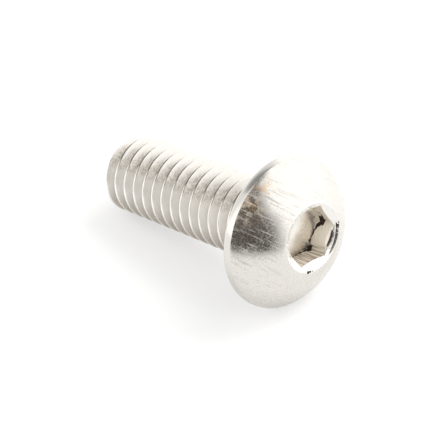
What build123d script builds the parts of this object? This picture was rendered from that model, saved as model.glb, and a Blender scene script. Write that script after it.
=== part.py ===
"""Button head socket screw, lying at rest on its head rim and on its first full thread crest.

The screw is made standing on the Z axis: the bearing face under the head is in the
plane Z = 0, the head is above it and the threaded shank below. It is then laid down
with its head towards +X, and the side that was at +X becomes the side it rests on.
Lengths are in millimetres and angles in degrees.
"""

import os
from math import asin, atan2, ceil, degrees, hypot, isclose, radians, sqrt, tan

from build123d import *

# Thread: right-handed, metric profile of 60 degrees
thread_diameter = 3.0
thread_pitch = 0.5
crest_allowance = 0.06
flank_angle = 30.0
thread_depth = 0.6134 * thread_pitch
crest_flat = thread_pitch / 8
first_crest = 0.456

# Shank, measured from the bearing face to its end
shank_length = 8.0
neck_relief = 0.17
neck_length = 0.5
runout_length = 0.4
end_chamfer = 0.33

# Head
head_diameter = 5.7
head_height = 1.65
rim_height = 0.39
rim_edge_radius = 0.07
dome_edge_radius = 0.04

# Hexagon socket, punched to a flat floor under a countersunk mouth, both a little off centre
socket_across_flats = 2.02
socket_depth = 0.96
socket_roll = 26.6
socket_shift_x = -0.17
socket_shift_y = 0.065
countersink_margin = 0.16
countersink_slope = 30.0
crown_margin = 0.064
crown_edge_radius = 0.08

# Radii and heights that follow from the sizes above
crest_radius = (thread_diameter - crest_allowance) / 2
root_radius = crest_radius - thread_depth
neck_radius = thread_diameter / 2 - neck_relief
head_radius = head_diameter / 2
mouth_radius = socket_across_flats / sqrt(3) + countersink_margin
crown_radius = mouth_radius + crown_margin
countersink_depth = mouth_radius * tan(radians(countersink_slope))
shank_end = -shank_length
neck_end = -neck_length
runout_start = neck_end - runout_length
runout_slope = (crest_radius - neck_radius) / runout_length

# The dome's arc has its centre on the axis and joins the rim to the flat crown
dome_rise = head_height - rim_height
dome_centre_depth = (head_radius**2 - crown_radius**2 - dome_rise**2) / (2 * dome_rise)
dome_radius = hypot(head_radius, dome_centre_depth)

# The ridge is swept larger than the finished thread, then trimmed to the shank's envelope
ridge_margin = crest_flat / 2
ridge_root = root_radius - ridge_margin
ridge_top = crest_radius + ridge_margin
flank_run = tan(radians(flank_angle))
ridge_root_half = crest_flat / 2 + (crest_radius - ridge_root) * flank_run
ridge_top_half = crest_flat / 2 - ridge_margin * flank_run
ridge_start = shank_end + first_crest - 2 * thread_pitch
ridge_turns = ceil((neck_end - ridge_start) / thread_pitch)

# At rest the rim's rounded edge and the first full crest touch the same plane
crest_lead = shank_length - first_crest + crest_flat / 2
rest_rise = head_radius - rim_edge_radius - crest_radius
rest_run = crest_lead + rim_edge_radius
rest_tilt = degrees(atan2(rest_rise, rest_run) + asin(rim_edge_radius / hypot(rest_rise, rest_run)))

os.makedirs("parts", exist_ok=True)


# Shank core: the thread's root cylinder, with a short neck where the thread runs out
with BuildPart() as core:
    with BuildSketch(Plane.XZ):
        with BuildLine():
            Polyline(
                (0, 0),
                (neck_radius, 0),
                (neck_radius, neck_end),
                (root_radius, neck_end - (neck_radius - root_radius)),
                (root_radius, shank_end),
                (0, shank_end),
                close=True,
            )
        make_face()
    revolve(axis=Axis.Z)

# Envelope of the thread: chamfered end, full crest, then a taper into the neck
with BuildPart() as envelope:
    with BuildSketch(Plane.XZ):
        with BuildLine():
            Polyline(
                (0, shank_end),
                (crest_radius - end_chamfer, shank_end),
                (crest_radius, shank_end + end_chamfer),
                (crest_radius, runout_start),
                (crest_radius + runout_slope * runout_start, 0),
                (0, 0),
                close=True,
            )
        make_face()
    revolve(axis=Axis.Z)


def thread_turn(height):
    """One turn of the thread's ridge, whose crest leaves the +X side at the given height."""
    with BuildPart() as turn:
        with BuildLine():
            Helix(thread_pitch, thread_pitch, root_radius, center=(0, 0, height))
        with BuildSketch(Plane.XZ):
            with BuildLine():
                Polyline(
                    (ridge_root, height - ridge_root_half),
                    (ridge_top, height - ridge_top_half),
                    (ridge_top, height + ridge_top_half),
                    (ridge_root, height + ridge_root_half),
                    close=True,
                )
            make_face()
        sweep(is_frenet=True)
        add(envelope.part, mode=Mode.INTERSECT)
    return turn.part


# Head blank: flat bearing face, straight rim, dome and flat crown, with the countersink cut in the crown
with BuildPart() as head:
    with BuildSketch(Plane.XZ):
        with BuildLine():
            Polyline(
                (crown_radius, head_height),
                (0, head_height),
                (0, 0),
                (head_radius, 0),
                (head_radius, rim_height),
            )
            RadiusArc((head_radius, rim_height), (crown_radius, head_height), -dome_radius)
        make_face()
    revolve(axis=Axis.Z)
    circles = head.edges().filter_by(GeomType.CIRCLE)
    rim_circles = circles.filter_by(lambda edge: isclose(edge.radius, head_radius)).sort_by(Axis.Z)
    fillet(rim_circles.first, rim_edge_radius)
    fillet(rim_circles.last, dome_edge_radius)
    with Locations((socket_shift_x, socket_shift_y, head_height - countersink_depth / 2)):
        Cone(0, mouth_radius, countersink_depth, mode=Mode.SUBTRACT)
    crown_edges = head.edges().filter_by_position(Axis.Z, head_height - countersink_depth / 3, head_height)
    fillet(crown_edges, crown_edge_radius)

# Screw standing upright: head and threaded shank joined, then the socket cut
with BuildPart() as upright:
    add(head.part)
    add(core.part)
    neck_circle = upright.edges(Select.LAST).filter_by(GeomType.CIRCLE).sort_by(Axis.Z).last
    chamfer(neck_circle, neck_relief)
    add([thread_turn(ridge_start + turn * thread_pitch) for turn in range(ridge_turns)])
    with BuildSketch(Plane.XY.offset(head_height - socket_depth)):
        with Locations((socket_shift_x, socket_shift_y)):
            RegularPolygon(socket_across_flats / 2, 6, major_radius=False, rotation=socket_roll)
    extrude(amount=socket_depth, mode=Mode.SUBTRACT)

# Screw laid down on its rim and first full crest
with BuildPart() as laid:
    with Locations(Rotation(0, 90 - rest_tilt, 0)):
        add(upright.part)
footprint = laid.part.bounding_box()

# Finished screw, with the middle of its footprint at the origin
with BuildPart() as button_head_screw:
    with Locations((-footprint.center().X, -footprint.center().Y, -footprint.min.Z)):
        add(laid.part)

button_head_screw.part.label = "button_head_screw"
export_step(button_head_screw.part, "parts/button_head_screw.step")
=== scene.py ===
"""Button head screw in polished stainless steel, dressed for the camera."""

import math

import bmesh
import bpy
from mathutils import Matrix, Vector, noise


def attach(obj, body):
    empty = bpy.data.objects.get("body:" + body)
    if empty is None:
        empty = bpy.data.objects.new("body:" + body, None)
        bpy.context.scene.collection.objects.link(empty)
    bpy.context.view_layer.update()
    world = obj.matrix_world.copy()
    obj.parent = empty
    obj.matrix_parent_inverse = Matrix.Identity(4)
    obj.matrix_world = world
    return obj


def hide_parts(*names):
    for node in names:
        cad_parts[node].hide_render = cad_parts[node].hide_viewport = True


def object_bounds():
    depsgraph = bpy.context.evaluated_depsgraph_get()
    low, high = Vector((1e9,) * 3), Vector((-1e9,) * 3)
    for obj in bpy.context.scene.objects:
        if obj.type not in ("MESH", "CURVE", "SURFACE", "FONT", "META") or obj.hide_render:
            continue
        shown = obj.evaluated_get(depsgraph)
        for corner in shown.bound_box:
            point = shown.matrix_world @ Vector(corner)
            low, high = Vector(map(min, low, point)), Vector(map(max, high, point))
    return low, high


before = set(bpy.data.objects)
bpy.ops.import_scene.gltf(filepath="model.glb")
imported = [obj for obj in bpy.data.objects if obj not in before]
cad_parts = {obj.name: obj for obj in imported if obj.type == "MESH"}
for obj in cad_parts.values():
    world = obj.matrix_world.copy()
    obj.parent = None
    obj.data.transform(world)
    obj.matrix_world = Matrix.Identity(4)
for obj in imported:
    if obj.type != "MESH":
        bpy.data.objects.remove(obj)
CAD_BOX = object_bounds()
NODE = "button_head_screw"
MM = 0.001

bl_info = {
    "name": "Button Head Screw",
    "version": (1, 0, 0),
    "blender": (4, 5, 0),
    "location": "3D View > Sidebar > Screw",
    "description": "Models a button head screw with a rolled thread and a broached hexagon socket",
    "category": "Add Mesh",
}


class ScrewSizes(bpy.types.PropertyGroup):
    """Sizes of the screw, in metres, as a maker's drawing gives them."""

    thread_diameter: bpy.props.FloatProperty(
        name="Thread Diameter",
        description="Nominal diameter of the thread",
        default=3.0 * MM,
        unit="LENGTH",
    )
    thread_pitch: bpy.props.FloatProperty(
        name="Thread Pitch",
        description="Distance from one crest to the next",
        default=0.5 * MM,
        unit="LENGTH",
    )
    crest_allowance: bpy.props.FloatProperty(
        name="Crest Allowance",
        description="How much the crests measure under the nominal diameter",
        default=0.06 * MM,
        unit="LENGTH",
    )
    first_crest: bpy.props.FloatProperty(
        name="First Crest",
        description="Height of the first full crest over the shank's end, on the side it rests on",
        default=0.456 * MM,
        unit="LENGTH",
    )
    shank_length: bpy.props.FloatProperty(
        name="Shank Length",
        description="Length from the bearing face to the end",
        default=8.0 * MM,
        unit="LENGTH",
    )
    neck_relief: bpy.props.FloatProperty(
        name="Neck Relief",
        description="How far the neck lies under the nominal thread radius",
        default=0.17 * MM,
        unit="LENGTH",
    )
    neck_length: bpy.props.FloatProperty(
        name="Neck Length",
        description="Plain length under the head",
        default=0.5 * MM,
        unit="LENGTH",
    )
    runout_length: bpy.props.FloatProperty(
        name="Run-out Length",
        description="Length over which the crests sink into the neck",
        default=0.4 * MM,
        unit="LENGTH",
    )
    end_chamfer: bpy.props.FloatProperty(
        name="End Chamfer",
        description="Chamfer of the thread at the shank's end",
        default=0.33 * MM,
        unit="LENGTH",
    )
    head_diameter: bpy.props.FloatProperty(
        name="Head Diameter",
        description="Diameter over the rim",
        default=5.7 * MM,
        unit="LENGTH",
    )
    head_height: bpy.props.FloatProperty(
        name="Head Height",
        description="Height of the head over its bearing face, before its mouth is rounded",
        default=1.65 * MM,
        unit="LENGTH",
    )
    rim_height: bpy.props.FloatProperty(
        name="Rim Height",
        description="Height of the straight rim",
        default=0.39 * MM,
        unit="LENGTH",
    )
    rim_edge_radius: bpy.props.FloatProperty(
        name="Rim Edge Radius",
        description="Rounding of the rim that the resting place is worked out with",
        default=0.07 * MM,
        unit="LENGTH",
    )
    bearing_edge_radius: bpy.props.FloatProperty(
        name="Bearing Edge Radius",
        description="Rounding between the bearing face and the rim",
        default=0.13 * MM,
        unit="LENGTH",
    )
    dome_edge_radius: bpy.props.FloatProperty(
        name="Dome Edge Radius",
        description="Rounding between the rim and the dome",
        default=0.06 * MM,
        unit="LENGTH",
    )
    crown_edge_radius: bpy.props.FloatProperty(
        name="Crown Edge Radius",
        description="Rounding of the flat crown and of the socket's mouth",
        default=0.08 * MM,
        unit="LENGTH",
    )
    socket_across_flats: bpy.props.FloatProperty(
        name="Socket Across Flats",
        description="Width of the hexagon socket",
        default=2.02 * MM,
        unit="LENGTH",
    )
    socket_depth: bpy.props.FloatProperty(
        name="Socket Depth",
        description="Depth of the hexagon from the top of the head",
        default=0.96 * MM,
        unit="LENGTH",
    )
    socket_roll: bpy.props.FloatProperty(
        name="Socket Roll",
        description="Turn of a corner of the hexagon from the side that the screw rests on",
        default=math.radians(26.6),
        subtype="ANGLE",
        unit="ROTATION",
    )
    socket_shift: bpy.props.FloatVectorProperty(
        name="Socket Shift",
        description="How far the socket lies off the axis, first towards the side that the screw rests on",
        default=(-0.17 * MM, 0.065 * MM),
        unit="LENGTH",
        size=2,
    )
    countersink_margin: bpy.props.FloatProperty(
        name="Countersink Margin",
        description="Width of the countersink past the hexagon's corners",
        default=0.16 * MM,
        unit="LENGTH",
    )
    crown_margin: bpy.props.FloatProperty(
        name="Crown Margin",
        description="How much larger the flat crown's radius is than the countersink's",
        default=0.064 * MM,
        unit="LENGTH",
    )
    countersink_slope: bpy.props.FloatProperty(
        name="Countersink Slope",
        description="Slope of the countersink under the head's top",
        default=math.radians(30.0),
        subtype="ANGLE",
        unit="ROTATION",
    )


class SteelLook(bpy.types.PropertyGroup):
    """Colours and finish of the polished stainless steel, with the colours of the shade and highlights
    painted on it.
    """

    steel_colour: bpy.props.FloatVectorProperty(
        name="Steel Colour",
        description="Colour of the clean polished steel",
        default=(0.85, 0.82, 0.77),
        subtype="COLOR",
        size=3,
    )
    # Painted shade: the thread's flanks are painted towards this colour more and more on the side that rests
    # on the floor; it also gives them their uneven, unpolished tone.
    wear_and_shade_colour: bpy.props.FloatVectorProperty(
        name="Wear And Shade Colour",
        description="Colour of the rolled thread's shaded side, which isn't polished",
        default=(0.43, 0.385, 0.325),
        subtype="COLOR",
        size=3,
    )
    # Also used for painted highlights: the lines along the crests on the lower side towards the camera, and
    # one side of the socket's floor.
    cut_and_highlight_colour: bpy.props.FloatVectorProperty(
        name="Cut And Highlight Colour",
        description="Colour of the bright cut steel in the socket's mouth",
        default=(0.96, 0.94, 0.90),
        subtype="COLOR",
        size=3,
    )
    wall_colour: bpy.props.FloatVectorProperty(
        name="Wall Colour",
        description="Colour of the socket's broached walls",
        default=(0.92, 0.86, 0.76),
        subtype="COLOR",
        size=3,
    )
    # Also the colour of the painted shade that darkens the upper walls and, evenly, the lower wall.
    groove_and_shade_colour: bpy.props.FloatVectorProperty(
        name="Groove And Shade Colour",
        description="Colour of the broaching lines in the socket's walls",
        default=(0.36, 0.30, 0.23),
        subtype="COLOR",
        size=3,
    )
    stain_colour: bpy.props.FloatVectorProperty(
        name="Stain Colour",
        description="Colour of the thin tan stains on the dome",
        default=(0.80, 0.62, 0.43),
        subtype="COLOR",
        size=3,
    )
    stain_strength: bpy.props.FloatProperty(
        name="Stain Strength",
        description="How strongly the tan stains show",
        default=0.8,
        min=0.0,
        max=1.0,
        subtype="FACTOR",
    )
    # Painted shade: this colour darkens the gaps of the torn seam at the foot of the walls, the nicks, the
    # folded line and the broken lens's edge in the mouth, and paints the dark reflections along the upper
    # crests.
    painted_shade_colour: bpy.props.FloatVectorProperty(
        name="Painted Shade Colour",
        description="Colour of the gaps between the torn chips in the socket",
        default=(0.045, 0.027, 0.018),
        subtype="COLOR",
        size=3,
    )
    polish_roughness: bpy.props.FloatProperty(
        name="Polish Roughness",
        description="Roughness of the tumbled dome",
        default=0.19,
        min=0.0,
        max=1.0,
        subtype="FACTOR",
    )


class StudioLook(bpy.types.PropertyGroup):
    """Floor, light and camera."""

    floor_colour: bpy.props.FloatVectorProperty(
        name="Floor Colour",
        description="Colour of the paper that the screw lies on",
        default=(0.97, 0.97, 0.965),
        subtype="COLOR",
        size=3,
    )
    tent_brightness: bpy.props.FloatProperty(
        name="Tent Brightness",
        description="Strength of the white light tent, where 1 is white",
        default=1.28,
        min=0.0,
    )
    left_shade: bpy.props.FloatProperty(
        name="Left Shade",
        description="How much dimmer the tent is at the screw's threaded end",
        default=0.35,
        min=0.0,
        max=1.0,
        subtype="FACTOR",
    )
    top_shade: bpy.props.FloatProperty(
        name="Top Shade",
        description="How much dimmer the tent is at its top, where it is gathered",
        default=0.8,
        min=0.0,
        max=1.0,
        subtype="FACTOR",
    )
    opening_low: bpy.props.FloatVectorProperty(
        name="Opening Low",
        description="Colour of the dim room seen through the tent's opening, near the floor",
        default=(0.058, 0.046, 0.037),
        subtype="COLOR",
        size=3,
    )
    opening_high: bpy.props.FloatVectorProperty(
        name="Opening High",
        description="Colour of the dim room seen through the tent's opening, higher up",
        default=(0.12, 0.10, 0.08),
        subtype="COLOR",
        size=3,
    )
    # A painted glow: the paper emits this share of its brightness for the camera and for reflections in the
    # steel.
    floor_glow: bpy.props.FloatProperty(
        name="Floor Glow",
        description="Share of the paper's brightness that comes from under it",
        default=0.48,
        min=0.0,
        max=1.0,
        subtype="FACTOR",
    )
    floor_dimming: bpy.props.FloatProperty(
        name="Floor Dimming",
        description="How much dimmer the paper looks in the steel on the side towards the camera",
        default=0.4,
        min=0.0,
        max=1.0,
        subtype="FACTOR",
    )
    key_power: bpy.props.FloatProperty(
        name="Key Power",
        description="Power of the soft lamp that gives the shadow its side",
        default=0.5,
        min=0.0,
        unit="POWER",
    )
    camera_lens: bpy.props.FloatProperty(
        name="Camera Lens",
        description="Focal length on a sensor 36 mm wide",
        default=276.7,
        unit="CAMERA",
    )


THREAD_DEPTH = 0.6134


class Shape:
    """Radii, heights and the resting place that follow from the sizes."""

    def __init__(self, sizes):
        self.pitch = sizes.thread_pitch
        self.crest = (sizes.thread_diameter - sizes.crest_allowance) / 2
        self.root = self.crest - THREAD_DEPTH * self.pitch
        self.crest_flat = self.pitch / 8
        self.neck = sizes.thread_diameter / 2 - sizes.neck_relief
        self.neck_fillet = sizes.neck_relief
        self.length = sizes.shank_length
        self.neck_end = -sizes.neck_length
        self.runout_start = self.neck_end - sizes.runout_length
        self.runout_slope = (self.crest - self.neck) / sizes.runout_length
        self.chamfer = sizes.end_chamfer
        self.first_crest = sizes.first_crest
        self.head = sizes.head_diameter / 2
        self.height = sizes.head_height
        self.rim = sizes.rim_height
        self.rim_edge = sizes.rim_edge_radius
        self.bearing_edge = sizes.bearing_edge_radius
        self.dome_edge = sizes.dome_edge_radius
        self.flat = sizes.socket_across_flats / 2
        self.corner = self.flat / math.cos(math.pi / 6)
        self.mouth = self.corner + sizes.countersink_margin
        self.crown = self.mouth + sizes.crown_margin
        self.crown_edge = sizes.crown_edge_radius
        self.slope = math.tan(sizes.countersink_slope)
        self.floor = self.height - sizes.socket_depth
        self.roll = sizes.socket_roll
        self.shift = Vector(sizes.socket_shift)
        rise = self.height - self.rim
        self.dome_centre = self.rim - (self.head**2 - self.crown**2 - rise**2) / (2 * rise)
        self.dome = math.hypot(self.head, self.rim - self.dome_centre)
        lead = self.length - self.first_crest + self.crest_flat / 2
        drop = self.head - self.rim_edge - self.crest
        run = lead + self.rim_edge
        self.tilt = math.atan2(drop, run) + math.asin(self.rim_edge / math.hypot(drop, run))
        self.face_height = self.crest * math.cos(self.tilt) + lead * math.sin(self.tilt)
        end_reach = self.length * math.cos(self.tilt) + self.root * math.sin(self.tilt)
        self.face_x = CAD_BOX[0].x + end_reach

    def laid(self):
        """The matrix that lays the upright screw down where the frame has it."""
        turn = Matrix.Rotation(math.pi / 2 - self.tilt, 4, "Y")
        return Matrix.Translation((self.face_x, 0, self.face_height)) @ turn


SHANK_COLUMNS = 128
HEAD_COLUMNS = 240
WELD = 0.0015 * MM
SNAP = 0.003 * MM
SHANK_TOP = -0.001 * MM
FLANK_ANGLE = math.radians(30)
ROOT_ROUND = 0.07 * MM
CREST_ROUND = 0.05 * MM
SMOOTH_ANGLE = math.radians(32)


def deselect_all():
    """Leaves nothing selected and no object active."""
    bpy.ops.object.select_all(action="DESELECT")
    bpy.context.view_layer.objects.active = None


def select_only(*objects):
    """Selects these objects and makes the first one active."""
    deselect_all()
    for thing in objects:
        thing.select_set(True)
    bpy.context.view_layer.objects.active = objects[0]


def draw_chain(name, points):
    """A new mesh that is one chain of edges: a point is extruded from each place to the next."""
    deselect_all()
    bpy.ops.mesh.primitive_plane_add(size=0.1 * MM, location=points[0])
    chain = bpy.context.object
    chain.name = name
    bpy.ops.object.transform_apply(location=True, rotation=True, scale=True)
    bpy.ops.object.mode_set(mode="EDIT")
    bpy.ops.mesh.select_all(action="SELECT")
    bpy.ops.mesh.merge(type="CENTER")
    for before, after in zip(points, points[1:]):
        step = Vector(after) - Vector(before)
        bpy.ops.mesh.extrude_vertices_move(TRANSFORM_OT_translate={"value": step})
    bpy.ops.object.mode_set(mode="OBJECT")
    return chain


def arc(centre, radius, start, end, steps):
    """Points (radius, height) along an arc in the profile's plane, with both ends, in degrees."""
    angles = [math.radians(start + (end - start) * i / steps) for i in range(steps + 1)]
    return [(centre[0] + radius * math.cos(a), centre[1] + radius * math.sin(a)) for a in angles]


def corner_arc(before, corner, after, radius, steps):
    """Points that round the corner of a profile with the given radius."""
    c = Vector(corner)
    a = (Vector(before) - c).normalized()
    b = (Vector(after) - c).normalized()
    half = a.angle(b) / 2
    reach = radius / math.tan(half)
    centre = c + (a + b).normalized() * (radius / math.sin(half))
    start = c + a * reach - centre
    end = c + b * reach - centre
    points = []
    for i in range(steps + 1):
        turned = start.slerp(end, i / steps)
        points.append((centre + turned * (radius / turned.length))[:])
    return points


def thread_pitch_profile(shape):
    """One pitch of the thread from root to root: rounded roots, straight flanks, rounded crest."""
    half = shape.pitch / 2
    crest_half = shape.crest_flat / 2
    root_half = half - crest_half - (shape.crest - shape.root) * math.tan(FLANK_ANGLE)
    root_out = (shape.root, -half + root_half)
    crest_in = (shape.crest, -crest_half)
    root_round = corner_arc((shape.root, -half), root_out, crest_in, ROOT_ROUND, 4)
    crest_round = corner_arc(root_out, crest_in, (shape.crest, 0), CREST_ROUND, 5)
    middle = (Vector(root_round[-1]) + Vector(crest_round[0])) / 2
    lower = [(shape.root, -half)] + root_round + [middle[:]] + crest_round
    upper = [(r, -z) for r, z in reversed(lower)]
    return lower + upper


def shank_limits(shape, z):
    """Lowest and highest radius of the shank at a height: the core with its neck, and the envelope."""
    highest = shape.crest
    end = -shape.length
    if z < end + shape.chamfer:
        highest = shape.crest - shape.chamfer + max(z - end, 0)
    if z > shape.runout_start:
        highest = shape.crest - shape.runout_slope * (z - shape.runout_start)
    lowest = shape.root
    if z > shape.neck_end:
        lowest = shape.neck
    elif z > shape.neck_end - (shape.neck - shape.root):
        lowest = shape.neck - (shape.neck_end - z)
    if z > -shape.neck_fillet:
        across = shape.neck_fillet**2 - (z + shape.neck_fillet) ** 2
        lowest = shape.neck + shape.neck_fillet - math.sqrt(max(across, 0))
    return lowest, highest


def trim_shank(mesh, shape):
    """Moves the thread's points to the level ends, the chamfer, the run-out and the neck."""
    for point in mesh.vertices:
        if point.co.z < SNAP - shape.length:
            point.co.z = -shape.length
        if point.co.z > SHANK_TOP - SNAP:
            point.co.z = SHANK_TOP
        radius = math.hypot(point.co.x, point.co.y)
        lowest, highest = shank_limits(shape, point.co.z)
        wanted = max(min(radius, highest), lowest)
        point.co.x *= wanted / radius
        point.co.y *= wanted / radius


def weld(thing):
    """Merges the points of an object that lie at one place, and turns its faces outwards."""
    select_only(thing)
    bpy.ops.object.mode_set(mode="EDIT")
    bpy.ops.mesh.select_all(action="SELECT")
    bpy.ops.mesh.remove_doubles(threshold=WELD)
    bpy.ops.mesh.normals_make_consistent(inside=False)
    bpy.ops.object.mode_set(mode="OBJECT")


def roll_shank(shape):
    """The threaded shank, standing upright: a profile screwed up its axis, then trimmed."""
    profile = thread_pitch_profile(shape)
    start = -shape.length + shape.first_crest - 2 * shape.pitch
    places = [(r, 0, start + z) for r, z in profile]
    shank = draw_chain("shank", places)
    screw = shank.modifiers.new("Roll", "SCREW")
    screw.axis = "Z"
    screw.angle = 2 * math.pi
    screw.screw_offset = shape.pitch
    screw.iterations = math.ceil((shape.length + 3 * shape.pitch) / shape.pitch)
    screw.steps = SHANK_COLUMNS
    screw.render_steps = SHANK_COLUMNS
    screw.use_smooth_shade = True
    bpy.ops.object.modifier_apply(modifier=screw.name)
    weld(shank)
    trim_shank(shank.data, shape)
    weld(shank)
    return shank


MOUTH_OUTER = 1.42 * MM
MOUTH_INNER = 1.22 * MM
SHIFT_FROM = 1.85 * MM
EDGE_BREAK = 0.012 * MM
RIM_BARREL = 0.012 * MM
LIP_LINE_REACH = 1.25 * MM
LIP_LINE_HALF = 0.032 * MM
LIP_LINE_DEPTH = 0.05 * MM
LENS_WIDTH = 0.125 * MM
LENS_SLOPE = math.tan(math.radians(50))
LENS_EDGE = 0.05 * MM
NICK_DEPTH = 0.04 * MM
# How strongly the nicks in the lip are painted with shade.
NICK_SHADE = 1.4
TEAR_DEPTH = 0.07 * MM
TEAR_SOFT = 0.03 * MM
TEAR_REACH = 0.16 * MM
FLOOR_UNEVEN = 0.01 * MM
FOOT_ROUND = 0.01 * MM
DOME_ROWS = 44
LIP_ROWS = 18
CONE_ROWS = 12
WALL_ROWS = 34
FLOOR_ROWS = 20

# The torn seam at the foot of the walls: angle round the socket in degrees, height and half width in mm
TEAR = (
    (112, 1.07, 0.02),
    (104, 1.10, 0.045),
    (96, 1.07, 0.06),
    (91, 0.99, 0.15),
    (84, 0.94, 0.13),
    (77, 0.84, 0.07),
    (72, 0.79, 0.05),
    (66, 0.745, 0.025),
    (60, 0.71, 0.03),
    (53, 0.70, 0.02),
    (47, 0.69, 0.035),
    (42, 0.69, 0.02),
    (36, 0.72, 0.04),
    (31, 0.79, 0.08),
    (27, 0.77, 0.11),
    (22, 0.73, 0.07),
    (14, 0.70, 0.025),
    (0, 0.69, 0.012),
    (-16, 0.69, 0.004),
)

# Nicks in the mouth's lip: angle in degrees, distance from the socket's axis and half size in mm
NICKS = (
    (-19, 1.325, 0.075),
    (-14, 1.31, 0.05),
    (-9, 1.315, 0.03),
    (-4, 1.32, 0.018),
    (84, 1.30, 0.065),
    (89, 1.34, 0.05),
)


def side_angle(shape, angle):
    """The angle from the middle of the hexagon's nearest side, in radians."""
    return ((angle - shape.roll) % (math.pi / 3)) - math.pi / 6


def hexagon_reach(shape, angle):
    """Distance from the socket's axis to its wall in a direction."""
    return shape.flat / math.cos(side_angle(shape, angle))


def along_walls(shape, angle):
    """Length along the hexagon's walls up to a direction."""
    side = math.floor((angle - shape.roll) / (math.pi / 3))
    return 2 * shape.flat * math.tan(math.pi / 6) * side + shape.flat * math.tan(side_angle(shape, angle))


def bell(value, middle, half):
    """1 at the middle, falling smoothly to 0 at half away from it."""
    share = max(1 - abs(value - middle) / half, 0)
    return share * share * (3 - 2 * share)


def tear_amount(shape, angle, z):
    """How torn the wall is at a place: 1 inside the seam, 0 outside, ragged between."""
    degrees = math.degrees(angle)
    if not TEAR[-1][0] - 8 < degrees < TEAR[0][0] + 8:
        return 0.0
    here = Vector((along_walls(shape, angle), z)) / MM
    ragged = 0.05 * noise.noise(here.to_3d() * 9) + 0.035 * noise.noise(here.to_3d() * 23)
    nearest = 1.0
    for (angle_a, z_a, half_a), (angle_b, z_b, half_b) in zip(TEAR, TEAR[1:]):
        a = Vector((along_walls(shape, math.radians(angle_a)) / MM, z_a))
        b = Vector((along_walls(shape, math.radians(angle_b)) / MM, z_b))
        step = b - a
        share = min(max((here - a).dot(step) / step.length_squared, 0), 1)
        gap = (here - a - step * share).length - (half_a + (half_b - half_a) * share)
        nearest = min(nearest, gap)
    return min(max(0.5 - (nearest + ragged) / (TEAR_SOFT / MM), 0), 1)


def nick_amount(angle, reach):
    """How deep the nicks in the lip are at a place, from 0 to 1."""
    deepest = 0.0
    for nick_angle, nick_reach, half in NICKS:
        around = (angle - math.radians(nick_angle)) * reach / MM
        across = reach / MM - nick_reach
        deepest = max(deepest, 1 - math.hypot(around * 0.8, across) / half)
    return deepest


def lens_edge(shape, angle, reach):
    """How near a place is to the outer edge of the broken lens beside the wall, from 0 to 1."""
    width = broken_width(angle)
    across = reach - hexagon_reach(shape, angle)
    return bell(across, width - 0.03 * MM, LENS_EDGE) * bell(width, 0.13 * MM, 0.1 * MM)


def broken_width(angle):
    """Width of the lens that is broken off the countersink beside the wall."""
    return LENS_WIDTH * bell(math.degrees(angle), 60, 40)


def lip_line(angle, reach):
    """How deep the folded line inside the lip is at a place, from 0 to 1."""
    degrees = math.degrees(angle)
    strength = min(max((degrees - 14) / 50, 0), 1) * min(max((93 - degrees) / 6, 0), 1)
    return strength * max(1 - abs(reach - LIP_LINE_REACH) / LIP_LINE_HALF, 0)


def mouth_height(shape, angle, reach, radius):
    """Height of the crown and countersink at a distance from the socket's axis and from the head's."""
    top = shape.height
    if radius > shape.crown:
        top = shape.dome_centre + math.sqrt(shape.dome**2 - radius**2)
    cone = shape.height - (shape.mouth - reach) * shape.slope
    broken = broken_width(angle) - (reach - hexagon_reach(shape, angle))
    cone -= max(broken, 0) * (LENS_SLOPE - shape.slope)
    soft = shape.crown_edge * shape.slope * 0.12
    blend = max(soft - abs(top - cone), 0) / soft
    height = min(top, cone) - blend**2 * soft / 4
    height -= LIP_LINE_DEPTH * lip_line(angle, reach)
    return height - NICK_DEPTH * nick_amount(angle, reach)


def head_profile(shape):
    """The head's form along one side: bearing face, rim, dome, crown, then the socket as a round hole."""
    bearing = [(shape.neck + shape.neck_fillet + 0.1 * MM, 0), (shape.head * 0.75, 0)]
    rim_low = corner_arc((0, 0), (shape.head, 0), (shape.head, shape.rim), shape.bearing_edge, 8)
    rim = [(shape.head, shape.bearing_edge + (shape.rim - shape.bearing_edge) * 0.4)]
    dome_start = math.degrees(math.asin((shape.rim - shape.dome_centre) / shape.dome))
    dome_end = math.degrees(math.acos(MOUTH_OUTER / shape.dome))
    dome = arc((0, shape.dome_centre), shape.dome, dome_start, dome_end, DOME_ROWS)
    rim_high = corner_arc(rim[0], (shape.head - RIM_BARREL, shape.rim), dome[2], shape.dome_edge, 5)
    dome = [p for p in dome if p[0] < rim_high[-1][0] - 0.02 * MM]
    lip_step = (MOUTH_INNER - MOUTH_OUTER) / LIP_ROWS
    lip = [(MOUTH_OUTER + lip_step * i, shape.height) for i in range(1, LIP_ROWS + 1)]
    cone_step = (shape.flat + EDGE_BREAK - MOUTH_INNER) / CONE_ROWS
    cone = [(MOUTH_INNER + cone_step * i, shape.height) for i in range(1, CONE_ROWS)]
    wall_top = (shape.flat, shape.height - (shape.mouth - shape.flat) * shape.slope)
    wall_foot = (shape.flat, shape.floor)
    edge = corner_arc((shape.mouth, shape.height), wall_top, wall_foot, EDGE_BREAK, 3)
    wall_step = (shape.floor + 2 * FOOT_ROUND - edge[-1][1]) / WALL_ROWS
    wall = [(shape.flat, edge[-1][1] + wall_step * i) for i in range(1, WALL_ROWS + 1)]
    foot = corner_arc(wall_top, wall_foot, (0, shape.floor), FOOT_ROUND, 2)
    floor = [(foot[-1][0] * (1 - (i / FLOOR_ROWS) ** 1.3), shape.floor) for i in range(1, FLOOR_ROWS + 1)]
    return bearing + rim_low + rim + rim_high + dome + lip + cone + edge + wall + foot + floor


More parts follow.
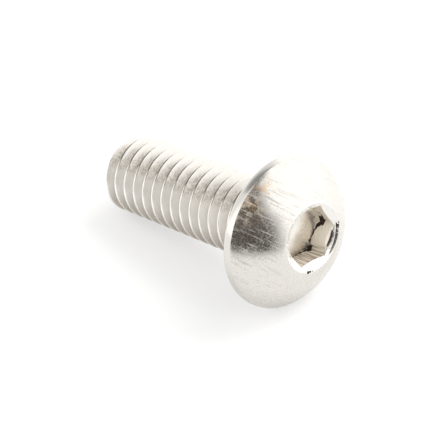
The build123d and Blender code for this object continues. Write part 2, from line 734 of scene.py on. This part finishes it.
def punch_socket(mesh, shape):
    """Shifts the round hole off centre and moves its points out to a hexagon with a torn foot, and stores
    where shade is painted in the torn seam, the nicks, the lip's fold and the broken lens's edge.
    """
    z_wall = shape.height - (shape.mouth - shape.flat) * shape.slope
    crevice_shade = mesh.attributes.new("crevice_shade", "FLOAT", "POINT")
    for point in mesh.vertices:
        radius = math.hypot(point.co.x, point.co.y)
        if radius > SHIFT_FROM or point.co.z < shape.rim and radius > shape.corner:
            continue
        z = point.co.z
        angle = math.atan2(point.co.y, point.co.x)
        hexagon = hexagon_reach(shape, angle)
        painted_darkness = 0.0
        reach = radius
        if radius < shape.flat - EDGE_BREAK:
            reach = radius * hexagon / shape.flat
            uneven = noise.noise(Vector((point.co.x, point.co.y, 0)) / MM * 3.1)
            z += FLOOR_UNEVEN * uneven * bell(radius, 0, shape.flat)
            # The torn seam sinks the floor and wall by this amount, and the same amount is painted dark as
            # shade in its gaps.
            painted_darkness = tear_amount(shape, angle, z - (hexagon - reach)) * bell(hexagon - reach, 0, TEAR_REACH)
            z -= TEAR_DEPTH * painted_darkness
        elif radius < shape.flat + EDGE_BREAK:
            reach = radius + hexagon - shape.flat
            edge = mouth_height(shape, angle, hexagon, hexagon)
            z = shape.floor + (z - shape.floor) * (edge - shape.floor) / (z_wall - shape.floor)
            painted_darkness = tear_amount(shape, angle, z)
            reach += TEAR_DEPTH * painted_darkness
        elif radius < MOUTH_INNER:
            share = (MOUTH_INNER - radius) / (MOUTH_INNER - shape.flat)
            reach = radius + (hexagon - shape.flat) * share
        moved = shape.shift * min(max((SHIFT_FROM - radius) / (SHIFT_FROM - MOUTH_OUTER), 0), 1)
        point.co.x = reach * math.cos(angle) + moved.x
        point.co.y = reach * math.sin(angle) + moved.y
        if radius > shape.flat + EDGE_BREAK * 0.99:
            z = mouth_height(shape, angle, reach, math.hypot(point.co.x, point.co.y))
            nick = nick_amount(angle, reach) * NICK_SHADE
            # Painted shade in the nicks, the folded line of the lip and the broken lens's edge.
            painted_darkness = max(lip_line(angle, reach), nick, lens_edge(shape, angle, reach))
        point.co.z = z
        crevice_shade.data[point.index].value = min(max(painted_darkness, 0), 1)


def turn_head(shape):
    """The head, standing upright: its profile spun round the axis, then its socket punched."""
    cos_roll, sin_roll = math.cos(shape.roll), math.sin(shape.roll)
    places = [(r * cos_roll, r * sin_roll, z) for r, z in head_profile(shape)]
    head = draw_chain("head", places)
    bpy.ops.object.mode_set(mode="EDIT")
    bpy.ops.mesh.select_all(action="SELECT")
    bpy.ops.mesh.spin(steps=HEAD_COLUMNS, angle=2 * math.pi, center=(0, 0, 0), axis=(0, 0, 1))
    bpy.ops.object.mode_set(mode="OBJECT")
    weld(head)
    punch_socket(head.data, shape)
    return head


# The end face's dish: each ring's share of the radius of the ring before it, and how much deeper it lies
END_RINGS = ((0.93, 0), (0.86, 0.02 * MM), (0.75, 0.04 * MM), (0.6, 0.03 * MM))


def select_rings(mesh, heights):
    """Selects, in edit mode, the open edges whose points lie at one of the heights."""
    bpy.ops.mesh.select_mode(type="EDGE")
    bpy.ops.mesh.select_all(action="DESELECT")
    work = bmesh.from_edit_mesh(mesh)
    for edge in work.edges:
        if edge.is_boundary:
            gaps = [min(abs(point.co.z - z) for z in heights) for point in edge.verts]
            edge.select_set(max(gaps) < WELD)
    bmesh.update_edit_mesh(mesh)


def join_screw(shank, head, shape):
    """Joins shank and head into one closed mesh: the neck is bridged to the bearing face, the end filled."""
    select_only(head, shank)
    bpy.ops.object.join()
    screw = bpy.context.object
    bpy.ops.object.mode_set(mode="EDIT")
    select_rings(screw.data, (0.0, SHANK_TOP))
    bpy.ops.mesh.bridge_edge_loops()
    select_rings(screw.data, (-shape.length,))
    end = (0, 0, -shape.length)
    for share, sink in END_RINGS:
        bpy.ops.mesh.extrude_edges_move(TRANSFORM_OT_translate={"value": (0, 0, sink)})
        bpy.ops.transform.resize(value=(share, share, 1), center_override=end)
    bpy.ops.mesh.merge(type="CENTER")
    bpy.ops.mesh.select_mode(type="VERT")
    bpy.ops.mesh.select_all(action="SELECT")
    bpy.ops.mesh.remove_doubles(threshold=WELD)
    bpy.ops.mesh.dissolve_degenerate(threshold=1e-7)
    bpy.ops.mesh.normals_make_consistent(inside=False)
    bpy.ops.object.mode_set(mode="OBJECT")
    crevice_shade = screw.data.attributes["crevice_shade"]
    for point in screw.data.vertices:
        if point.co.z < 0:
            crevice_shade.data[point.index].value = 0.0
    return screw


def finish_piece(piece, material):
    """Gives a finished piece its material, shading and body."""
    piece.data.materials.clear()
    piece.data.materials.append(material)
    select_only(piece)
    bpy.ops.object.shade_smooth_by_angle(angle=SMOOTH_ANGLE)
    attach(piece, "root")


class Value:
    """A number in a material, whose sums and products add Math nodes."""

    def __init__(self, nodes, socket):
        self.nodes = nodes
        self.socket = socket

    def _math(self, operation, *terms):
        inputs = dict(enumerate(terms))
        return Value(self.nodes, self.nodes.add("ShaderNodeMath", {"operation": operation}, inputs)[0])

    def __add__(self, other):
        return self._math("ADD", self, other)

    def __radd__(self, other):
        return self._math("ADD", other, self)

    def __sub__(self, other):
        return self._math("SUBTRACT", self, other)

    def __rsub__(self, other):
        return self._math("SUBTRACT", other, self)

    def __mul__(self, other):
        return self._math("MULTIPLY", self, other)

    def __truediv__(self, other):
        return self._math("DIVIDE", self, other)

    def __pow__(self, other):
        return self._math("POWER", self, other)

    def towards(self, other):
        """The angle, in radians, whose sine and cosine are in the ratio of this number to the other."""
        return self._math("ARCTAN2", self, other)

    def __abs__(self):
        return self._math("ABSOLUTE", self)

    def at_least(self, other):
        return self._math("MAXIMUM", self, other)

    def at_most(self, other):
        return self._math("MINIMUM", self, other)

    def step(self, low, high):
        """0 below low and 1 above high, smooth between them."""
        settings = {"interpolation_type": "SMOOTHSTEP"}
        inputs = {"Value": self, "From Min": low, "From Max": high, "To Min": 0.0, "To Max": 1.0}
        return Value(self.nodes, self.nodes.add("ShaderNodeMapRange", settings, inputs)["Result"])

    def band(self, middle, half_width, soft):
        """1 within half_width of the middle, 0 further than soft outside it."""
        return 1 - abs(self - middle).step(half_width, half_width + soft)


class Nodes:
    """Adds nodes to a material or world by type, settings and the values or links of their sockets."""

    def __init__(self, tree):
        self.tree = tree
        tree.nodes.clear()

    def add(self, kind, settings=None, inputs=None):
        node = self.tree.nodes.new(kind)
        for key, setting in (settings or {}).items():
            setattr(node, key, setting)
        for key, term in (inputs or {}).items():
            if isinstance(term, Value):
                self.tree.links.new(term.socket, node.inputs[key])
            elif isinstance(term, bpy.types.NodeSocket):
                self.tree.links.new(term, node.inputs[key])
            else:
                node.inputs[key].default_value = term
        return node.outputs

    def mix(self, factor, first, second):
        """Mixes two colours."""
        return self.add("ShaderNodeMix", {"data_type": "RGBA"}, {0: factor, 6: first, 7: second})[2]

    def noise(self, vector, scale, detail, roughness):
        """A noise of about 0 to 1."""
        inputs = {"Vector": vector, "Scale": scale, "Detail": detail, "Roughness": roughness}
        return Value(self, self.add("ShaderNodeTexNoise", None, inputs)[0])

    def lines(self, x, y, z, detail, roughness):
        """A noise of about 0 to 1 at a place given by three numbers, stretched where they grow slowly."""
        vector = self.add("ShaderNodeCombineXYZ", None, {0: x, 1: y, 2: z})[0]
        return self.noise(vector, 1.0, detail, roughness)

    def distance(self, vector, middle):
        """The distance of a vector from a point."""
        outputs = self.add("ShaderNodeVectorMath", {"operation": "DISTANCE"}, {0: vector, 1: middle})
        return Value(self, outputs["Value"])

    def parts(self, vector):
        """The three numbers of a vector."""
        outputs = self.add("ShaderNodeSeparateXYZ", None, {0: vector})
        return [Value(self, outputs[i]) for i in range(3)]


WHITE = (1, 1, 1, 1)
BLACK = (0, 0, 0, 1)


def rgba(colour):
    """A colour with full alpha."""
    return (*colour, 1.0)


# In the screw's upright place, the level direction across the socket that leads away from the camera
AWAY = Vector((0.659, 0.752))

# A turn after which the dome's scratches run square to the first axis
SCRATCH_TURN = Matrix(((0.716, -0.697, -0.058), (0.497, 0.448, 0.743), (-0.492, -0.561, 0.667))).to_euler()


class Places:
    """Where a point of the steel lies: its upright place in mm, and a mask from 0 to 1 for each region."""

    def __init__(self, nodes, shape):
        to_screw = shape.laid().inverted()
        inputs = {
            "Vector": nodes.add("ShaderNodeTexCoord")["Object"],
            "Location": to_screw.to_translation() / MM,
            "Rotation": to_screw.to_euler(),
            "Scale": (1 / MM, 1 / MM, 1 / MM),
        }
        self.local = nodes.add("ShaderNodeMapping", {"vector_type": "POINT"}, inputs)[0]
        self.x, self.y, self.z = nodes.parts(self.local)
        self.side = self.x / (shape.crest / MM)
        self.camera_side = 1 - self.y.step(-0.4, 0.0)
        self.mask_socket(shape)
        self.mask_shank(shape)

    def mask_socket(self, shape):
        """Masks for the socket, its floor, walls and countersink, and for the dome round it."""
        across_x = self.x - shape.shift.x / MM
        across_y = self.y - shape.shift.y / MM
        reach = (across_x * across_x + across_y * across_y) ** 0.5
        far = across_x * AWAY.x + across_y * AWAY.y
        inner = MOUTH_INNER / MM
        floor = shape.floor / MM
        above_bearing = self.z.step(0.3, 0.5)
        under_cone = (shape.height - shape.mouth * shape.slope) / MM + reach * shape.slope - self.z
        self.in_socket = under_cone.step(0.0, 0.03) * (1 - reach.step(inner - 0.03, inner)) * above_bearing
        self.on_floor = self.in_socket * (1 - self.z.step(floor + 0.03, floor + 0.07))
        # The side of the socket's floor that is painted bright, with a painted highlight.
        self.painted_bright_floor = 1 - far.step(0.05, 0.45)
        self.on_wall = self.in_socket - self.on_floor
        # The upper walls, which are painted darker with shade.
        self.shaded_upper_wall = self.on_wall * (1 - self.side.step(-0.2, 0.05))
        self.on_cone = (1 - self.in_socket) * (1 - reach.step(1.30, 1.34)) * above_bearing
        self.near_lip = self.on_cone * (1 - far.step(-0.8, -0.5))
        self.on_dome = (1 - self.in_socket) * self.z.step(0.36, 0.44)

    def mask_shank(self, shape):
        """Masks for the shank, its flanks, and its crests where painted dark reflections and painted
        highlights show as lines.
        """
        crest = shape.crest / MM
        radius = (self.x * self.x + self.y * self.y) ** 0.5
        self.on_shank = 1 - self.z.step(-0.2, -0.05)
        self.on_crest = self.on_shank * radius.step(crest - 0.033, crest - 0.018)
        self.flank = self.on_shank - self.on_crest
        # Painted reflection: dark lines along the tops of the crests on the upper side towards the camera.
        top = self.on_shank * radius.step(crest - 0.01, crest - 0.004)
        self.painted_dark_crest = top * self.side.band(-0.88, 0.08, 0.1) * self.camera_side * 0.9
        # Painted highlight: bright lines along the crests on the lower side towards the camera.
        facing_floor = self.side.step(-0.72, -0.5) * (1 - self.side.step(-0.1, 0.5))
        self.painted_crest_highlight = self.on_crest * facing_floor * self.camera_side


class Patterns:
    """Noises of several grains, and the stains, scratches and tool marks that are made of them, with the
    painted shade on the socket's walls.
    """

    def __init__(self, nodes, places):
        x, y, z = places.x, places.y, places.z
        self.fine = nodes.noise(places.local, 19.0, 2.0, 0.6)
        self.medium = nodes.noise(places.local, 10.0, 2.0, 0.6)
        self.coarse = nodes.noise(places.local, 4.5, 3.0, 0.6)
        self.brush = nodes.lines(x * 14.0, y * 1.3, z * 1.3, 3.0, 0.6).step(0.5, 0.75)
        self.grid = nodes.lines(x * 4.0, y * 4.0, z * 20.0, 2.0, 0.6).step(0.3, 0.7)
        self.broach = nodes.lines(x * 12.0, y * 12.0, z * 0.9, 2.0, 0.6).step(0.4, 0.6)
        self.streak = nodes.lines(x * 9.0, y * 9.0, z * 24.0, 4.0, 0.7).step(0.38, 0.66)
        inputs = {"Vector": places.local, "Rotation": SCRATCH_TURN}
        u, v, w = nodes.parts(nodes.add("ShaderNodeMapping", {"vector_type": "POINT"}, inputs)[0])
        scratches = nodes.lines(u * 13.0, v * 0.9, w * 0.9, 2.0, 0.55)
        self.scratch = scratches.step(0.56, 0.64) * places.on_dome
        cloud = nodes.noise(places.local, 2.6, 2.0, 0.5)
        near_top = 1 - nodes.distance(places.local, (-2.4, -1.5, 0.5)).step(0.4, 1.0)
        near_rim = 1 - nodes.distance(places.local, (-1.95, -1.95, 0.55)).step(0.2, 0.75)
        self.top_stain = cloud.step(0.47, 0.6) * near_top * places.on_dome
        self.rim_stain = self.coarse.step(0.46, 0.6) * near_rim * places.on_dome
        lower_wall = places.side.step(0.3, 0.6)
        # Broaching lines and grid marks, with painted shade: the lower wall is painted darker evenly, and
        # the upper walls darker still.
        broached_and_shaded = lower_wall * (self.broach * 0.85 + 0.28) + (1 - lower_wall) * self.grid * 0.14
        self.grooves_and_shade = places.in_socket * broached_and_shaded + places.shaded_upper_wall * 0.45


def steel_roughness(look, places, patterns):
    """A polished, mottled and scratched dome, a duller thread and a rough socket."""
    mottle = patterns.fine.step(0.45, 0.7) * 0.2 + patterns.medium.step(0.5, 0.7) * 0.1
    mottle = places.on_dome * (mottle + (patterns.coarse - 0.5) * 0.15)
    threaded = places.on_shank * (0.16 + (patterns.medium - 0.5) * 0.3) - places.on_crest * 0.18
    punched = places.on_floor * (patterns.grid * 0.12 - places.painted_bright_floor * 0.1)
    socket = places.on_wall * 0.35 + punched - places.on_cone * 0.06
    roughness = look.polish_roughness + mottle + threaded + socket + patterns.scratch * 0.3
    return roughness.at_least(0.05).at_most(0.9)


def steel_metallic(places, patterns):
    """How much the steel mirrors, where 1 is all and less is a dull face that scatters light."""
    floor = places.on_floor * (0.3 + places.painted_bright_floor * 0.45)
    socket = places.on_wall * 0.8 + floor + places.near_lip * 0.6
    thread = places.flank * 0.5 + places.painted_crest_highlight * 0.6
    return 1 - socket - thread - patterns.rim_stain * 0.35


def wear_and_shade_amount(places, patterns):
    """How dull and shaded the steel looks: uneven dull flanks and brushed stripes that grow towards the
    dome's lower side, with painted shade on the flanks that grows towards the floor and a painted speckled
    shade along the side towards the camera.
    """
    # A painted speckled shade in a band along the thread's side towards the camera.
    shade_speckle = places.side.band(-0.7, 0.05, 0.2) * patterns.streak * places.camera_side
    uneven = (patterns.coarse - 0.5) * 0.3 + shade_speckle * 0.8 + 0.07
    # Painted shade: the flanks darken towards the side that rests on the floor.
    thread = places.flank * (places.side.step(-0.3, 0.7) * 0.8 + uneven)
    dome = places.on_dome * places.side.step(-0.2, 1.0) * patterns.brush * 0.16
    return (thread + dome).at_least(0.0).at_most(1.0)


def steel_colour(nodes, look, places, patterns, painted_darkness):
    """Clean steel, then its stains, dull faces with painted shade, grooved walls with painted shade, bright
    cuts with painted highlights, and painted shade in the gaps and painted dark reflections on the crests.
    """
    stain = patterns.top_stain.at_least(patterns.rim_stain) * look.stain_strength
    colour = nodes.mix(stain, rgba(look.steel_colour), rgba(look.stain_colour))
    colour = nodes.mix(wear_and_shade_amount(places, patterns), colour, rgba(look.wear_and_shade_colour))
    wall_colour = nodes.mix(patterns.grooves_and_shade, rgba(look.wall_colour), rgba(look.groove_and_shade_colour))
    colour = nodes.mix(places.in_socket, colour, wall_colour)
    # Bright cut steel in the countersink, and painted highlights on one side of the socket's floor and along
    # the lower crests.
    bright = places.on_cone.at_least(places.on_floor * places.painted_bright_floor).at_least(places.painted_crest_highlight)
    colour = nodes.mix(bright, colour, rgba(look.cut_and_highlight_colour))
    return nodes.mix(painted_darkness, colour, rgba(look.painted_shade_colour))


def steel_material(look, shape):
    """Polished stainless steel: a scratched, mottled dome, a rolled thread and a torn, rough socket."""
    material = bpy.data.materials.new("polished_stainless_steel")
    material.use_nodes = True
    nodes = Nodes(material.node_tree)
    places = Places(nodes, shape)
    patterns = Patterns(nodes, places)
    settings = {"attribute_type": "GEOMETRY", "attribute_name": "crevice_shade"}
    crevice_shade = Value(nodes, nodes.add("ShaderNodeAttribute", settings)["Fac"])
    # Painted shade in the torn seam's gaps, the nicks and the creases of the mouth, raggedly broken up, and
    # painted dark reflections along the upper crests.
    painted_darkness = (crevice_shade + (patterns.fine - 0.5) * 0.6).step(0.34, 0.5).at_least(places.painted_dark_crest)
    rolled = places.on_shank * (patterns.medium * 0.8 + patterns.coarse * 0.2)
    height = rolled + patterns.scratch * 0.08 - patterns.grooves_and_shade * 0.8
    bump = {"Strength": 0.22, "Distance": 0.006 * MM, "Height": height}
    inputs = {
        "Base Color": steel_colour(nodes, look, places, patterns, painted_darkness),
        "Metallic": steel_metallic(places, patterns) * (1 - painted_darkness),
        "Roughness": steel_roughness(look, places, patterns) + painted_darkness * 0.4,
        "Normal": nodes.add("ShaderNodeBump", None, bump)[0],
    }
    shader = nodes.add("ShaderNodeBsdfPrincipled", None, inputs)[0]
    nodes.add("ShaderNodeOutputMaterial", None, {"Surface": shader})
    return material


TOWARD_CAMERA = Vector((0.712, -0.702, 0))
PAPER_SIZE = 1.2
PAPER_FRONT = 42 * MM
PAPER_TURN = (0, 0, math.radians(-44.6))


def studio_world(look):
    """A white light tent with a dim opening towards the side that the screw is looked at from."""
    world = bpy.data.worlds.new("light_tent")
    bpy.context.scene.world = world
    world.use_nodes = True
    nodes = Nodes(world.node_tree)
    x, y, z = nodes.parts(nodes.add("ShaderNodeTexCoord")["Generated"])
    azimuth = y.towards(x) * math.degrees(1)
    elevation = z.towards((1 - z * z) ** 0.5) * math.degrees(1)
    notch = elevation.band(51, 8, 12) * 9
    near_side = 1 - (azimuth + notch).step(-24, 6)
    far_side = azimuth.step(-112, -92)
    path = nodes.add("ShaderNodeLightPath")
    reflected = Value(nodes, path["Is Glossy Ray"])
    opening = near_side * far_side * elevation.step(-32, -18) * (1 - elevation.step(70, 86)) * reflected
    dim_colour = nodes.mix(elevation.step(5, 50), rgba(look.opening_low), rgba(look.opening_high))
    left_side = abs(azimuth).step(134, 146) * elevation.band(26, 14, 10)
    behind = azimuth.step(112, 128).at_least((0 - azimuth).step(152, 162))
    gathered = elevation.step(74, 80).at_least(behind * elevation.step(31, 42))
    shade = (left_side * look.left_shade).at_least(gathered * look.top_shade)
    inputs = {"Color": nodes.mix(shade, WHITE, BLACK), "Strength": look.tent_brightness}
    tent = nodes.add("ShaderNodeBackground", None, inputs)[0]
    dim = nodes.add("ShaderNodeBackground", None, {"Color": dim_colour, "Strength": 1.0})[0]
    seen = nodes.add("ShaderNodeBackground", None, {"Color": WHITE, "Strength": 1.0})[0]
    light = nodes.add("ShaderNodeMixShader", None, {0: opening, 1: tent, 2: dim})[0]
    surface = nodes.add("ShaderNodeMixShader", None, {0: path["Is Camera Ray"], 1: light, 2: seen})[0]
    nodes.add("ShaderNodeOutputWorld", None, {"Surface": surface})


def paper_material(look):
    """White paper with a painted glow for camera and glossy rays, so that it keeps only a light shadow."""
    material = bpy.data.materials.new("white_paper")
    material.use_nodes = True
    nodes = Nodes(material.node_tree)
    paper = nodes.add("ShaderNodeBsdfDiffuse", None, {"Color": rgba(look.floor_colour)})[0]
    x, y = nodes.parts(nodes.add("ShaderNodeTexCoord")["Object"])[:2]
    toward_camera = x * TOWARD_CAMERA.x + y * TOWARD_CAMERA.y
    path = nodes.add("ShaderNodeLightPath")
    reflected = Value(nodes, path["Is Glossy Ray"])
    seen = Value(nodes, path["Is Camera Ray"]).at_least(reflected)
    # Painted shade in the steel's reflections: the paper is dimmed on the side towards the camera.
    dimmed = reflected * (toward_camera / PAPER_FRONT).step(-0.15, 0.12) * look.floor_dimming
    glow_colour = nodes.mix(dimmed, WHITE, BLACK)
    glow = nodes.add("ShaderNodeEmission", None, {"Color": glow_colour, "Strength": 1.0})[0]
    lit = nodes.add("ShaderNodeMixShader", None, {0: seen * look.floor_glow, 1: paper, 2: glow})[0]
    # Painted shade in the steel's reflections: near its front edge the paper is a dark grey.
    edge = nodes.add("ShaderNodeBsdfDiffuse", None, {"Color": (0.1, 0.1, 0.1, 1)})[0]
    fade = (toward_camera / PAPER_FRONT).step(0.4, 1.0) * reflected
    shader = nodes.add("ShaderNodeMixShader", None, {0: fade, 1: lit, 2: edge})[0]
    nodes.add("ShaderNodeOutputMaterial", None, {"Surface": shader})
    return material


CAMERA_PLACE = Vector((65.9382, -67.7741, 71.3089)) * MM
CAMERA_AIM = Vector((-1.8416, -1.4336, 0.4192)) * MM
CAMERA_ROLL = math.radians(-0.2116)
SENSOR_WIDTH = 36.0
KEY_DISTANCE = 0.35
KEY_AZIMUTH = math.radians(75)
KEY_ELEVATION = math.radians(52)
KEY_SIZE = 0.22


def place_camera(look, shape):
    """The camera at the photograph's viewing angle, placed from the middle of the bearing face."""
    deselect_all()
    place = CAMERA_PLACE + Vector((shape.face_x, 0, shape.face_height))
    bpy.ops.object.camera_add(location=place)
    camera = bpy.context.object
    camera.name = "camera"
    aim = (CAMERA_AIM - CAMERA_PLACE).to_track_quat("-Z", "Y").to_matrix().to_4x4()
    camera.matrix_world = Matrix.Translation(place) @ aim @ Matrix.Rotation(CAMERA_ROLL, 4, "Z")
    camera.data.lens = look.camera_lens
    camera.data.sensor_width = SENSOR_WIDTH
    camera.data.clip_start = 1 * MM
    camera.data.clip_end = 10.0
    bpy.context.scene.camera = camera


def place_key(look):
    """A soft lamp over the far side, which throws the shadow towards the near left."""
    deselect_all()
    turn = Matrix.Rotation(KEY_AZIMUTH, 3, "Z") @ Matrix.Rotation(-KEY_ELEVATION, 3, "Y")
    place = turn @ Vector((KEY_DISTANCE, 0, 0))
    bpy.ops.object.light_add(type="AREA", location=place)
    lamp = bpy.context.object
    lamp.name = "key_lamp"
    lamp.rotation_euler = (-place).to_track_quat("-Z", "Y").to_euler()
    lamp.data.shape = "DISK"
    lamp.data.size = KEY_SIZE
    lamp.data.energy = look.key_power
    lamp.visible_glossy = False
    lamp.visible_camera = False


def lay_paper():
    """The paper floor, whose front edge lies between the screw and the camera, out of the picture."""
    deselect_all()
    middle = TOWARD_CAMERA * (PAPER_FRONT - PAPER_SIZE / 2)
    bpy.ops.mesh.primitive_plane_add(size=PAPER_SIZE, location=middle, rotation=PAPER_TURN)
    floor = bpy.context.object
    floor.name = "paper_floor"
    bpy.ops.object.transform_apply(location=True, rotation=True, scale=True)
    return floor


class SCREW_OT_add_screw(bpy.types.Operator):
    """Model the button head screw where the frame has it"""

    bl_idname = "screw.add_screw"
    bl_label = "Add Button Head Screw"
    bl_options = {"REGISTER", "UNDO"}

    def execute(self, context):
        shape = Shape(context.scene.screw_sizes)
        shank = roll_shank(shape)
        head = turn_head(shape)
        screw = join_screw(shank, head, shape)
        screw.name = "screw"
        screw.data.name = "screw"
        screw.matrix_world = shape.laid()
        select_only(screw)
        bpy.ops.object.transform_apply(location=True, rotation=True, scale=True)
        finish_piece(screw, steel_material(context.scene.steel_look, shape))
        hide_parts(NODE)
        return {"FINISHED"}


class SCREW_OT_add_stage(bpy.types.Operator):
    """Add the paper floor, the light tent, the lamp and the camera"""

    bl_idname = "screw.add_stage"
    bl_label = "Add Stage"
    bl_options = {"REGISTER", "UNDO"}

    def execute(self, context):
        look = context.scene.studio_look
        deselect_all()
        floor = lay_paper()
        floor.data.materials.append(paper_material(look))
        studio_world(look)
        place_key(look)
        place_camera(look, Shape(context.scene.screw_sizes))
        context.scene.view_settings.view_transform = "Standard"
        return {"FINISHED"}


class SCREW_PT_panel(bpy.types.Panel):
    """The screw's operators and values"""

    bl_idname = "SCREW_PT_panel"
    bl_label = "Button Head Screw"
    bl_space_type = "VIEW_3D"
    bl_region_type = "UI"
    bl_category = "Screw"

    def draw(self, context):
        layout = self.layout
        for operator in (SCREW_OT_add_screw, SCREW_OT_add_stage):
            layout.operator(operator.bl_idname)
        for group in (context.scene.screw_sizes, context.scene.steel_look, context.scene.studio_look):
            box = layout.box()
            for name in group.bl_rna.properties.keys():
                if name not in ("rna_type", "name"):
                    box.prop(group, name)


CLASSES = (ScrewSizes, SteelLook, StudioLook, SCREW_OT_add_screw, SCREW_OT_add_stage, SCREW_PT_panel)


def register():
    for item in CLASSES:
        bpy.utils.register_class(item)
    bpy.types.Scene.screw_sizes = bpy.props.PointerProperty(type=ScrewSizes)
    bpy.types.Scene.steel_look = bpy.props.PointerProperty(type=SteelLook)
    bpy.types.Scene.studio_look = bpy.props.PointerProperty(type=StudioLook)


def unregister():
    del bpy.types.Scene.studio_look
    del bpy.types.Scene.steel_look
    del bpy.types.Scene.screw_sizes
    for item in reversed(CLASSES):
        bpy.utils.unregister_class(item)


def main():
    register()
    bpy.ops.screw.add_screw()
    bpy.ops.screw.add_stage()


if __name__ == "__main__":
    main()
